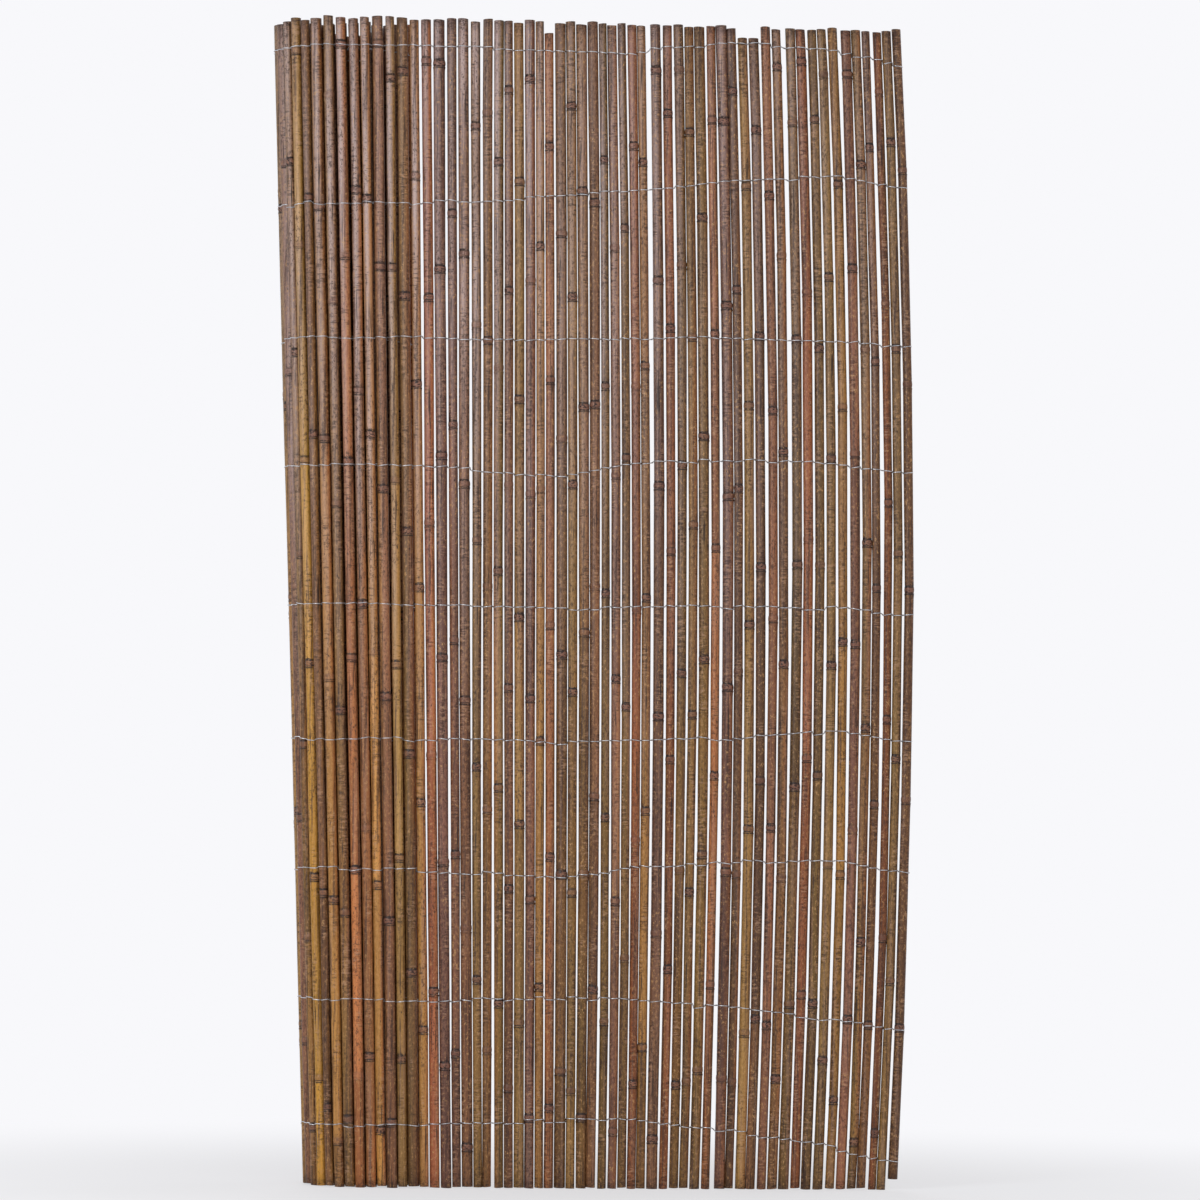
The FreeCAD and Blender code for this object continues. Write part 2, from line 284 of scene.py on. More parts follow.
class StageSettings(bpy.types.PropertyGroup):
    """Camera, light and floor."""

    distance: length("Distance", "From the camera to the panel", 4.7)
    azimuth: tilt("Azimuth", "Camera's place round the panel", -6)
    roll: tilt("Roll", "Tilt of the picture", 0.6)
    eye: length("Eye", "Height of the camera", 0.3)
    middle: length("Middle", "Height at the middle of the picture", 0.502)
    across: length("Across", "Place along the panel at the middle of the picture", 4.7 * MM)
    lens: FloatProperty(name="Lens", description="Focal length in millimetres", default=165.0)
    key: power("Key", "Power of the soft lamp at the upper left", 13.5)
    fill: power("Fill", "Power of the broad lamp in front", 56.0)
    rear: power("Rear", "Power of the broad lamp behind", 48.0)
    side: power("Side", "Power of the broad lamp at the right", 22.0)
    ambient: FloatProperty(name="Ambient", description="Light from all round", default=0.26)
    floor: tone("Floor", "Plain pale floor", 246, 246, 248)
    backdrop: tone("Backdrop", "What shows behind the panel", 248, 248, 251)


# Canes as the CAD has them


class Stem:
    """A cane's heights, middles and radii, from its foot to its top."""

    def __init__(self, levels, middles, radii):
        self.levels = np.array(levels)
        self.middles = np.array(middles)
        self.foot, self.top = self.levels[0], self.levels[-1]
        self.end_radii = (radii[0], radii[-1])
        swell = np.array(radii) - self.radius(self.levels)
        self.nodes = [level for level, more in zip(self.levels, swell) if more > NODE_RISE]

    def along(self):
        return self.middles[0][0]

    def radius(self, level):
        return np.interp(level, (self.foot, self.top), self.end_radii)

    def middle(self, level):
        return np.column_stack([np.interp(level, self.levels, self.middles[:, axis]) for axis in (0, 1)])

    def thicken(self, foot_share, top_share):
        self.end_radii = (self.end_radii[0] * foot_share, self.end_radii[1] * top_share)

    def lean(self, at_foot, at_top):
        self.middles[:, 0] += lean_at(self.levels, at_foot, at_top)

    def flanks(self, heights):
        """How far left and right the cane reaches at some heights."""
        middle, radius = self.middle(heights)[:, 0], self.radius(heights)
        return middle - radius, middle + radius

    def take_nodes(self, chance):
        """Nodes for a cane that the CAD draws plain."""
        pitch = INTERNODE * chance.uniform(0.9, 1.1)
        level = self.foot + pitch * chance.uniform(0.2, 1.0)
        self.nodes = []
        while level < self.top - TOP_INTERNODE:
            self.nodes.append(level)
            level += pitch * chance.uniform(0.92, 1.08)


def lean_at(heights, at_foot, at_top):
    """How far a leaning cane has moved sideways at some heights."""
    return at_foot + (at_top - at_foot) * heights / BLANK_LENGTH


def cad_stems(node):
    """The canes of a CAD node, one for each of its solids."""
    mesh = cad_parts[node].data
    points = np.array([vertex.co[:] for vertex in mesh.vertices])
    corners, corner_of = np.unique(np.round(points, CORNER_DECIMALS), axis=0, return_inverse=True)
    faces = corner_of.reshape(-1)[np.array([face.vertices[:] for face in mesh.polygons])]
    solid_of = lowest_joined(faces, len(corners))
    return [cad_stem(corners[solid_of == solid]) for solid in np.unique(solid_of)]


def lowest_joined(faces, corner_count):
    """For each corner, the lowest number of the corners that faces join it to."""
    lowest = np.arange(corner_count)
    while True:
        lower = lowest.copy()
        np.minimum.at(lower, faces, lowest[faces].min(axis=1)[:, None])
        if (lower == lowest).all():
            return lowest
        lowest = lower


def cad_stem(corners):
    """The cane whose corners lie in rings, one above the other."""
    heights = np.round(corners[:, 2], LEVEL_DECIMALS)
    levels = np.unique(heights)
    rings = [corners[heights == level][:, :2] for level in levels]
    middles = [ring.mean(axis=0) for ring in rings]
    radii = [np.linalg.norm(ring - middle, axis=1).max() for ring, middle in zip(rings, middles)]
    return Stem(levels, middles, radii)


def sheet_origin():
    """Where the sheet leaves the roll at the foot, on its front face."""
    first = min(stem.along() for stem in cad_stems("roll_front_canes"))
    return np.array((first, CAD_BOX[0][1] + CAD_WIRE))


def turn_of(stem):
    """How far the sheet has turned at a cane of the outer turn."""
    across, back = stem.middles[0] - sheet_origin() - (0, ROLL_RADIUS)
    return math.atan2(-across, -back) % (4 * QUARTER)


def panel_stems():
    stems = [cad_stems(f"cane_{number:02d}")[0] for number in range(1, len(PANEL_TONES) + 1)]
    for number, stem in enumerate(stems):
        place = number / (len(stems) - 1)
        stem.thicken(*(np.interp(place, (0, 1), girth) for girth in (PANEL_FOOT_GIRTH, PANEL_TOP_GIRTH)))
    lean_apart(stems)
    return stems


def lean_apart(stems):
    """Leans the canes between the two outermost ones at random, where their neighbours leave room."""
    for number in range(1, len(stems) - 1):
        chance = random.Random(f"lean {number}")
        taken = stems[number - 1].flanks(KNOTS)[1]
        free = stems[number + 1].flanks(KNOTS)[0]
        left, right = stems[number].flanks(KNOTS)
        for _ in range(LEAN_TRIES):
            at_foot, at_top = chance.uniform(-SWAY, SWAY), chance.uniform(-SWAY, SWAY)
            shift = lean_at(KNOTS, at_foot, at_top)
            if (left + shift > taken).all() and (right + shift < free).all():
                stems[number].lean(at_foot, at_top)
                break


def front_stems():
    stems = sorted(cad_stems("roll_front_canes"), key=Stem.along)
    for stem in stems:
        stem.thicken(1.0, ROLL_TOP_GIRTH)
    return stems


def outer_stems():
    stems = sorted(cad_stems("roll_outer_canes"), key=turn_of)
    for number, stem in enumerate(stems):
        if not stem.nodes:
            stem.take_nodes(random.Random(f"outer nodes {number}"))
        stem.thicken(1.0, ROLL_TOP_GIRTH)
    return stems


def core_stems():
    """Canes of the inner turns, laid on the winding that the CAD's ridged wall follows."""
    shifts = ((0, 0), (-1, 0), (-1, 1), (0, 1))
    step = TURN_PITCH / 4
    origin = sheet_origin()
    turn = turn_of(outer_stems()[-1]) + CORE_CANE_PITCH / (ROLL_RADIUS - 3 * step - SHEET_DEPTH / 2)
    stems = []
    while True:
        quarter = int(turn // QUARTER)
        radius = ROLL_RADIUS - quarter * step
        if radius <= CORE_RADIUS:
            return stems
        across, back = shifts[quarter % 4]
        reach = radius - SHEET_DEPTH / 2
        foot_across = across * step - math.sin(turn) * reach
        foot_back = back * step + ROLL_RADIUS - math.cos(turn) * reach
        chance = random.Random(f"core {len(stems)}")
        top = BLANK_LENGTH - CORE_DROP * (1 + chance.random())
        spread = 1 + FAN_SHARE * top / BLANK_LENGTH
        foot = np.array((foot_across, foot_back))
        head = np.array((FAN_REACH + (foot_across - FAN_REACH) * spread - SHEET_LEAN, foot_back * spread))
        girth = CORE_CANE_RADIUS * chance.uniform(0.92, 1.05)
        stem = Stem((chance.uniform(0, 1.5) * MM, top), (foot + origin, head + origin), (girth, girth))
        stem.take_nodes(chance)
        stems.append(stem)
        turn += CORE_CANE_PITCH / reach


# Modelling the canes


def only(piece):
    bpy.ops.object.select_all(action="DESELECT")
    piece.select_set(True)
    bpy.context.view_layer.objects.active = piece


def pick(piece, wanted):
    """Selects, in edit mode, the parts of a mesh that a function chooses."""
    shape = bmesh.from_edit_mesh(piece.data)
    for part in (*shape.verts, *shape.edges, *shape.faces):
        part.select_set(False)
    for part in wanted(shape):
        part.select_set(True)
    bmesh.update_edit_mesh(piece.data)


def lies_at(point, level):
    return abs(point.z - level) < LEVEL_MATCH


def on_rim(point, level):
    return lies_at(point, level) and point.xy.length > BLANK_RADIUS * RIM_SHARE


def blank_nodes(node_count):
    return [(number + 1) * BLANK_LENGTH / (node_count + 1) for number in range(node_count)]


def node_edges(nodes):
    """Where each node's swell starts and ends."""
    return [level for node in nodes for level in (node - BELOW_NODE, node + ABOVE_NODE)]


def ring_levels(nodes):
    """Heights of a blank's rings: those of each node's profile, and a few between two nodes."""
    levels = [node + height * MM for node in nodes for height, _ in NODE_PROFILE]
    bounds = [0.0, *node_edges(nodes), BLANK_LENGTH]
    steps = RINGS_BETWEEN_NODES + 1
    for low, high in zip(bounds[::2], bounds[1::2]):
        levels += [low + (high - low) * step / steps for step in range(1, steps)]
    return sorted(levels)


def cane_blank(node_count, sides, settings):
    """A straight cane of even thickness with its nodes, cut off and hollow at both ends."""
    nodes = blank_nodes(node_count)
    bpy.ops.object.select_all(action="DESELECT")
    bpy.ops.mesh.primitive_cylinder_add(
        vertices=sides, radius=BLANK_RADIUS, depth=BLANK_LENGTH, location=(0, 0, BLANK_LENGTH / 2)
    )
    blank = bpy.context.active_object
    bpy.ops.object.transform_apply(location=True, rotation=True, scale=True)
    bpy.ops.object.mode_set(mode="EDIT")
    bpy.ops.mesh.select_mode(type="VERT")
    for level in ring_levels(nodes):
        bpy.ops.mesh.select_all(action="SELECT")
        bpy.ops.mesh.bisect(plane_co=(0, 0, level), plane_no=(0, 0, 1), threshold=RING_MERGE)
    swell_nodes(blank, nodes)
    open_ends(blank, settings)
    bpy.ops.object.mode_set(mode="OBJECT")
    sort_faces(blank)
    only(blank)
    bpy.ops.object.shade_smooth_by_angle(angle=SMOOTH_ANGLE)
    return blank


def swell_nodes(blank, nodes):
    """Widens the rings at each node to the node's profile."""
    for height, swell in NODE_PROFILE:
        if swell:
            levels = [node + height * MM for node in nodes]
            pick(blank, lambda shape: [v for v in shape.verts if any(lies_at(v.co, z) for z in levels)])
            girth = 1 + swell * MM / BLANK_RADIUS
            bpy.ops.transform.resize(value=(girth, girth, 1), center_override=(0, 0, 0))


def open_ends(blank, settings):
    """Makes a rim, a wall and a hollow at both ends, and rounds the outer edge."""
    bpy.ops.mesh.select_mode(type="FACE")
    for level, inward in ((0.0, 1), (BLANK_LENGTH, -1)):
        pick(blank, lambda shape: [f for f in shape.faces if lies_at(f.calc_center_median(), level)])
        bpy.ops.mesh.inset(thickness=settings.rim)
        bpy.ops.mesh.inset(thickness=settings.wall - settings.rim)
        hollow = (0, 0, inward * settings.pith_depth)
        bpy.ops.mesh.extrude_region_move(TRANSFORM_OT_translate={"value": hollow})
        bpy.ops.transform.resize(value=(PITH_TAPER, PITH_TAPER, 1), center_override=(0, 0, level))
    bpy.ops.mesh.select_mode(type="EDGE")
    for level in (0.0, BLANK_LENGTH):
        pick(blank, lambda shape: [e for e in shape.edges if all(on_rim(v.co, level) for v in e.verts)])
        bpy.ops.mesh.bevel(offset=settings.rim * RIM_BEVEL, segments=2, affect="EDGES")


def sort_faces(blank):
    """Gives the skin the first material, and the cuts and the hollows the second."""
    for face in blank.data.polygons:
        inside = blank.data.vertices[face.vertices[0]].co.xy.length < BLANK_RADIUS * HOLLOW_SHARE
        face.material_index = 1 if abs(face.normal.z) > CUT_FACING or inside else 0


def wander(height, low, high, chance):
    """A value that drifts between two limits along a cane."""
    return np.interp(height, KNOTS, [chance.uniform(low, high) for _ in KNOTS])


def strip(angle, side, steepness, cutoff):
    """A strip down one side of a cane: 1 along its middle, and 0 round the back."""
    return np.clip(np.cos(angle - side) * steepness - cutoff, 0, 1)


def blend(colour, other, weight):
    return colour + weight[:, None] * (other - colour)


def put_colour(mesh, name, values):
    attribute = mesh.attributes.new(name, "FLOAT_COLOR", "POINT")
    attribute.data.foreach_set("color", values.astype(np.float32).ravel())


def node_marks(stem, height, chance):
    """How far each point is from the node beneath, the node above and an end, and its node's ink."""
    nodes = np.array(stem.nodes)
    fences = np.concatenate(([stem.foot - BLANK_LENGTH], nodes, [stem.top + BLANK_LENGTH]))
    over = np.searchsorted(nodes, height, side="right")
    above = np.clip((height - fences[over]) / MARK_REACH, 0, 1)
    below = np.clip((fences[over + 1] - height) / MARK_REACH, 0, 1)
    ink = np.array([chance.uniform(0.35, 1.0) for _ in fences])
    nearest = np.where(above < below, over, over + 1)
    end = np.clip(np.minimum(height - stem.foot, stem.top - height) / MARK_REACH, 0, 1)
    return np.column_stack((above, below, ink[nearest], end))


class Plot:
    """Blanks by node count, and the bamboo that all canes share."""

    def __init__(self, scene, sides):
        self.settings = scene.fence_canes
        self.tones = scene.fence_tones
        self.sides = sides
        self.blanks = {}
        self.materials = (bamboo_skin(self.tones), bamboo_cut(self.tones))

    def blank(self, node_count):
        if node_count not in self.blanks:
            self.blanks[node_count] = cane_blank(node_count, self.sides, self.settings)
        return self.blanks[node_count]

    def tone(self, name):
        return np.array(getattr(self.tones, name))

    def clear(self):
        for blank in self.blanks.values():
            bpy.data.objects.remove(blank)

    def grow(self, name, stem, tone_name, lightness=1.0):
        """Copies a blank and moves its points to one cane's height, girth, crooks and scars."""
        chance = random.Random(name)
        mesh = self.blank(len(stem.nodes)).data.copy()
        mesh.name = name
        cane = bpy.data.objects.new(name, mesh)
        bpy.context.scene.collection.objects.link(cane)
        mesh.materials.clear()
        for material in self.materials:
            mesh.materials.append(material)

        points = np.empty(len(mesh.vertices) * 3, np.float32)
        mesh.vertices.foreach_get("co", points)
        points = points.reshape(-1, 3).astype(float)
        angle = np.arctan2(points[:, 1], points[:, 0])
        reach = np.hypot(points[:, 0], points[:, 1]) / BLANK_RADIUS
        flat = [0.0, *node_edges(blank_nodes(len(stem.nodes))), BLANK_LENGTH]
        grown = [stem.foot, *node_edges(stem.nodes), stem.top]
        height = np.interp(points[:, 2], flat, grown)

        put_colour(mesh, "grain", node_marks(stem, height, chance))
        put_colour(mesh, "tint", self.tint(stem, height, angle, tone_name, lightness, chance))
        self.shape(mesh, stem, height, angle, reach, chance)
        return cane

    def tint(self, stem, height, angle, tone_name, lightness, chance):
        """A cane's own tone, a second one down a flank, each internode's shade, and a painted sheen: a pale
        strip as a painted highlight, high up and near the roll, with painted shade darkening the cane there.
        """
        flank = self.tone(chance.choice(FLANK_TONES))
        other = self.tone(chance.choice(FLANK_TONES))
        side = chance.choice(FLANK_SIDES) + chance.uniform(-0.3, 0.3)
        strength = wander(height, 0.1, 0.95, chance)
        colour = blend(self.tone(tone_name), flank, strip(angle, side, *FLANK_STRIP) * strength)
        colour = blend(colour, other, wander(height, 0.0, 0.30, chance))

        edges = np.array(stem.nodes)
        internodes = range(len(edges) + 1)
        shades = chance.uniform(0.85, 1.15) * np.array([chance.uniform(0.78, 1.16) for _ in internodes])
        contrast = np.interp(height, (0, BLANK_LENGTH), SHADE_CONTRAST)
        shade = shades[np.searchsorted(edges, height, side="right")] ** contrast

        # Where the painted sheen falls, high up and near the roll; there the cane is painted darker, as shade
        sheen_here = np.interp(stem.along(), SHEEN_PLACES, SHEEN_SHARES)
        sheen_reach = np.clip(height * SHEEN_RISE - SHEEN_LOSS, 0, 1) * sheen_here
        colour = colour * lightness * (shade * (1 - PAINTED_SHADE * sheen_reach))[:, None]
        # Painted sheen: a pale strip, a painted highlight, down the side between the key lamp and the camera
        film = sheen_reach * chance.uniform(0.2, 1.4) * wander(height, 0.3, 1.0, chance)
        facing = strip(angle, chance.uniform(*SHEEN_SIDES), *SHEEN_STRIP)
        colour = blend(colour, self.tone("painted_sheen"), np.minimum(SHEEN_STRENGTH * film * facing, SHEEN_MOST))
        return np.column_stack((colour, np.ones(len(height))))

    def shape(self, mesh, stem, height, angle, reach, chance):
        """Sets the points of a cane, and keeps them inside the CAD's box."""
        knots = np.concatenate(([stem.foot], stem.nodes, [stem.top]))
        crook = [[chance.uniform(low, 1) * self.settings.crook for _ in knots] for low in (-1, 0)]
        stray = np.column_stack([np.interp(height, knots, side) for side in crook])
        wave = 1 + WAVE_SHARE * np.sin(height * chance.uniform(25, 45) + chance.uniform(0, 6))
        oval = 1 + self.settings.oval * np.cos(2 * (angle - chance.uniform(0, math.pi)))
        girth = stem.radius(height) * reach * wave * oval
        lift = np.zeros(len(height))
        for node in stem.nodes:
            rise, swell = self.scar(height - node, angle, reach, chance)
            lift += rise
            girth += swell
        lift += self.cut(height - stem.foot, angle, reach, chance)
        lift -= self.cut(height - stem.top, angle, reach, chance)
        around = np.column_stack((np.cos(angle), np.sin(angle)))
        place = stem.middle(height) + stray + around * girth[:, None]
        place = np.clip(place, CAD_BOX[0][:2], CAD_BOX[1][:2])
        points = np.column_stack((place, height + lift))
        mesh.vertices.foreach_set("co", points.astype(np.float32).ravel())
        mesh.update()

    def scar(self, above, angle, reach, chance):
        """How far a node's slant lifts each point, and how far its bud and its groove move the skin."""
        near = np.exp(-(((above - SCAR_MIDDLE) / SCAR_SPREAD) ** 2))
        facing = chance.uniform(-math.pi, math.pi)
        rise = self.settings.slant * chance.uniform(0.2, 1) * np.cos(angle - facing) * near
        turned = np.angle(np.exp(1j * (angle - chance.uniform(-math.pi, math.pi))))
        bud = self.settings.bud * chance.choice((0, 0.4, 1)) * near * np.exp(-((turned / BUD_WIDTH) ** 2))
        groove = np.clip(above / GROOVE_START, 0, 1) * np.clip((GROOVE_END - above) / GROOVE_FADE, 0, 1)
        groove = GROOVE_DEPTH * groove * np.exp(-((turned / GROOVE_WIDTH) ** 2))
        skin = np.clip((reach - SKIN_SHARE) / (1 - SKIN_SHARE), 0, 1)
        return rise, (bud - groove) * skin

    def cut(self, distance, angle, reach, chance):
        """How far a cut that is off square moves the points near an end."""
        near = np.clip(1 - np.abs(distance) / CUT_REACH, 0, 1)
        facing = chance.uniform(-math.pi, math.pi)
        slope = self.settings.cut_slant * chance.uniform(0.1, 1)
        return near * slope * (1 + np.cos(angle - facing) * np.minimum(reach, 1)) / 2


def stand_for(piece, node):
    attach(piece, "root")
    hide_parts(node)


# Finishes


class Nodes:
    """A node tree that is cleared and then built up one node after the other."""

    def __init__(self, tree):
        self.tree = tree
        self.tree.nodes.clear()

    def add(self, kind, values=None, **settings):
        """A node with its settings, and values or other nodes' outputs on its inputs."""
        node = self.tree.nodes.new(kind)
        for name, value in settings.items():
            setattr(node, name, value)
        for name, value in (values or {}).items():
            self.feed(node.inputs[name], value)
        return node

    def feed(self, socket, value):
        if isinstance(value, bpy.types.NodeSocket):
            self.tree.links.new(value, socket)
        elif socket.type == "RGBA":
            socket.default_value = (*value, 1)
        else:
            socket.default_value = value

    def combine(self, operation, first, second):
        return self.add("ShaderNodeMath", {0: first, 1: second}, operation=operation).outputs["Value"]

    def times(self, first, *others):
        for other in others:
            first = self.combine("MULTIPLY", first, other)
        return first

    def mix_shaders(self, weight, first, second):
        return self.add("ShaderNodeMixShader", {0: weight, 1: first, 2: second}).outputs["Shader"]

    def backdrop_rays(self):
        """1 for rays from the camera, straight or by way of gloss or glass, and 0 for the rest."""
        rays = self.add("ShaderNodeLightPath").outputs
        shown = self.combine("MAXIMUM", rays["Is Camera Ray"], rays["Is Glossy Ray"])
        return self.combine("MAXIMUM", shown, rays["Is Transmission Ray"])


class Finish(Nodes):
    """A material, laid out in the piece's own coordinates."""

    def __init__(self, name):
        self.material = bpy.data.materials.new(name)
        self.material.use_nodes = True
        super().__init__(self.material.node_tree)
        self.shader = self.add("ShaderNodeBsdfPrincipled")
        self.output = self.add("ShaderNodeOutputMaterial", {"Surface": self.shader.outputs["BSDF"]})
        self.place = self.add("ShaderNodeTexCoord").outputs["Object"]

    def cover(self, colour, roughness, normal):
        """Joins what varies over the surface to the shader."""
        for name, value in (("Base Color", colour), ("Roughness", roughness), ("Normal", normal)):
            self.feed(self.shader.inputs[name], value)
        return self.material

    def scaled(self, cells, shift=0.0):
        """Object coordinates divided by a cell's size, in millimetres."""
        scale = [1 / (cell * MM) for cell in cells]
        values = {"Vector": self.place, "Location": (shift, shift * 0.7, shift * 1.3), "Scale": scale}
        return self.add("ShaderNodeMapping", values).outputs["Vector"]

    def noise(self, cells, detail=2.0, rough=0.55, shift=0.0):
        values = {"Vector": self.scaled(cells, shift), "Scale": 1.0, "Detail": detail, "Roughness": rough}
        return self.add("ShaderNodeTexNoise", values).outputs["Fac"]

    def spots(self, cells, shift=0.0):
        """Distance to the nearest of scattered points."""
        values = {"Vector": self.scaled(cells, shift), "Scale": 1.0}
        return self.add("ShaderNodeTexVoronoi", values).outputs["Distance"]

    def band(self, value, low, high, lowest=0.0, highest=1.0):
        """Goes smoothly from lowest to highest as a value goes from low to high."""
        values = {"Value": value, "From Min": low, "From Max": high, "To Min": lowest, "To Max": highest}
        return self.add("ShaderNodeMapRange", values, interpolation_type="SMOOTHSTEP").outputs["Result"]

    def ramp(self, value, *stops):
        """A number read off a line through stops."""
        ramp = self.add("ShaderNodeValToRGB", {"Fac": value})
        elements = ramp.color_ramp.elements
        while len(elements) < len(stops):
            elements.new(0.5)
        for element, (position, shade) in zip(elements, stops):
            element.position = position
            element.color = (shade, shade, shade, 1)
        return ramp.outputs["Color"]

    def mix(self, weight, first, second, blend_type="MIX"):
        values = {0: weight, 6: first, 7: second}
        return self.add("ShaderNodeMix", values, data_type="RGBA", blend_type=blend_type).outputs[2]

    def bump(self, height, depth, strength=1.0):
        values = {"Strength": strength, "Distance": depth, "Height": height}
        return self.add("ShaderNodeBump", values).outputs["Normal"]


def bamboo_skin(tones):
    """Weathered, oiled bamboo: fibres, stains, transverse cracks, specks and inked nodes."""
    finish = Finish("weathered_bamboo")
    fibre = finish.noise((0.9, 0.9, 45), 3, 0.6)
    mottle = finish.noise((1.9, 1.9, 3.2), 3, 0.75, 7.7)
    ladder = finish.noise((7, 7, 1.7), 2, 0.6, 5.9)
    ladder_patch = finish.noise((9, 9, 42), 1, 0.5, 23.0)

    tint = finish.add("ShaderNodeAttribute", attribute_name="tint").outputs["Color"]
    fibre_shade = finish.ramp(fibre, (0.28, 0.55), (0.5, 0.95), (0.72, 1.0))
    colour = finish.mix(1.0, tint, fibre_shade, "MULTIPLY")
    colour = stained(finish, colour, tones, mottle)
    colour = cracked(finish, colour, tones, ladder, ladder_patch)
    colour = sooted(finish, colour, tones)
    colour = inked(finish, colour, tones)

    rungs = finish.times(ladder, finish.band(ladder_patch, 0.48, 0.62, 0.2, 0.9))
    relief = finish.combine("ADD", finish.times(fibre, 0.5), rungs)
    finish.shader.inputs["Specular IOR Level"].default_value = 0.26
    finish.shader.inputs["Coat Weight"].default_value = 0.08
    finish.shader.inputs["Coat Roughness"].default_value = 0.3
    roughness = finish.band(mottle, 0.3, 0.7, 0.36, 0.58)
    return finish.cover(colour, roughness, finish.bump(relief, 0.12 * MM, 0.8))


def stained(finish, colour, tones, mottle):
    """Streaks along the fibres, and dark and bright mottling that comes and goes in patches."""
    streak = finish.noise((2.6, 2.6, 150), 2, 0.5, 3.1)
    film = finish.noise((3.2, 3.2, 190), 2, 0.5, 29.0)
    patch = finish.noise((14, 14, 55), 2, 0.5, 11.3)
    colour = finish.mix(finish.band(streak, 0.53, 0.66, 0, 0.7), colour, tones.streak)
    colour = finish.mix(finish.band(film, 0.55, 0.66, 0, 0.25), colour, tones.film)
    dark = finish.times(finish.band(mottle, 0.5, 0.62), finish.band(patch, 0.42, 0.62, 0.22, 0.75))
    colour = finish.mix(dark, colour, tones.stain)
    bright = finish.times(finish.band(mottle, 0.46, 0.34), finish.band(patch, 0.6, 0.4, 0.3, 0.75))
    return finish.mix(bright, colour, tones.fleck)


def cracked(finish, colour, tones, ladder, ladder_patch):
    """Short cracks across the fibres, like rungs, each with a pale and a dark edge."""
    pale = finish.times(finish.band(ladder, 0.53, 0.62), finish.band(ladder_patch, 0.52, 0.62, 0.03, 0.45))
    colour = finish.mix(pale, colour, tones.crack)
    dark = finish.times(finish.band(ladder, 0.47, 0.38), finish.band(ladder_patch, 0.52, 0.62, 0.05, 0.6))
    return finish.mix(dark, colour, tones.crease)


def sooted(finish, colour, tones):
    """Black lines along the fibres and black specks, both in patches."""
    line = finish.noise((1.6, 1.6, 70), 2, 0.7, 17.0)
    line_patch = finish.noise((22, 22, 60), 1, 0.5, 41.0)
    speck = finish.spots((3.4, 3.4, 7), 2.3)
    speck_patch = finish.noise((10, 10, 30), 1, 0.5, 31.0)
    lined = finish.times(finish.band(line, 0.58, 0.66), finish.band(line_patch, 0.5, 0.6, 0, 0.85))
    colour = finish.mix(lined, colour, tones.soot)
    specked = finish.times(finish.band(speck, 0.2, 0.1), finish.band(speck_patch, 0.52, 0.62, 0, 0.75))
    return finish.mix(specked, colour, tones.soot)


def inked(finish, colour, tones):
    """The band, the two dark lines and the blotches of a node, and the dirt at a cane's ends."""
    grain = finish.add("ShaderNodeAttribute", attribute_name="grain")
    split = finish.add("ShaderNodeSeparateColor", {"Color": grain.outputs["Color"]})
    above, below, ink = (split.outputs[name] for name in ("Red", "Green", "Blue"))
    end = grain.outputs["Alpha"]
    ragged = finish.noise((2.6, 2.6, 1.2), 2, 0.6, 19.0)

    belt = finish.times(finish.band(above, 0.32, 0.27), finish.band(above, 0.0, 0.03), ink, 0.75)
    colour = finish.mix(belt, colour, tones.scar)
    upper = finish.ramp(above, (0.0, 0.0), (0.24, 0.0), (0.275, 1.0), (0.335, 1.0), (0.38, 0.0))
    upper = finish.times(upper, finish.band(ink, 0.45, 0.6, 0.15, 1.0))
    lower = finish.ramp(above, (0.0, 1.0), (0.035, 1.0), (0.075, 0.0))
    under = finish.ramp(below, (0.0, 1.0), (0.04, 1.0), (0.09, 0.0))
    lower = finish.times(finish.combine("MAXIMUM", lower, under), finish.band(ink, 0.35, 0.5, 0.3, 1.0))
    lines = finish.times(finish.combine("MAXIMUM", upper, lower), finish.band(ragged, 0.36, 0.5, 0.3, 1.0))
    colour = finish.mix(lines, colour, tones.soot)
    blotch = finish.times(finish.band(ragged, 0.5, 0.6), finish.band(above, 0.55, 0.25))
    blotch = finish.times(blotch, finish.band(above, 0.0, 0.04), finish.band(ink, 0.5, 0.85, 0.2, 1.0))
    colour = finish.mix(blotch, colour, tones.blotch)
    dirt = finish.times(finish.band(end, 0.55, 0.0, 0, 0.75), finish.band(ragged, 0.42, 0.6, 0.2, 1.0))
    return finish.mix(dirt, colour, tones.dirt)


def bamboo_cut(tones):
    """Sawn bamboo: pale wall with dark fibre ends, greyed by weather."""
    finish = Finish("sawn_bamboo")
    pores = finish.spots((0.55, 0.55, 4))
    age = finish.noise((3, 3, 3), 2)
    colour = finish.mix(finish.band(pores, 0.35, 0.1, 0, 0.7), tones.cut, tones.pore)
    colour = finish.mix(finish.band(age, 0.4, 0.7, 0, 0.6), colour, tones.aged)
    finish.shader.inputs["Specular IOR Level"].default_value = 0.25
    return finish.cover(colour, finish.band(age, 0.3, 0.7, 0.75, 0.95), finish.bump(pores, 0.15 * MM))


def galvanised_wire(tones):
    """Zinc-coated wire, bright where it is rubbed and dull in between."""
    finish = Finish("galvanised_wire")
    dull = finish.noise((3, 3, 2), 3, 0.6)
    colour = finish.mix(finish.band(dull, 0.42, 0.66, 0, 0.7), tones.zinc, tones.dull_zinc)
    finish.shader.inputs["Metallic"].default_value = 0.9
    return finish.cover(colour, finish.band(dull, 0.3, 0.7, 0.28, 0.5), finish.bump(dull, 0.05 * MM))


# Binding wire


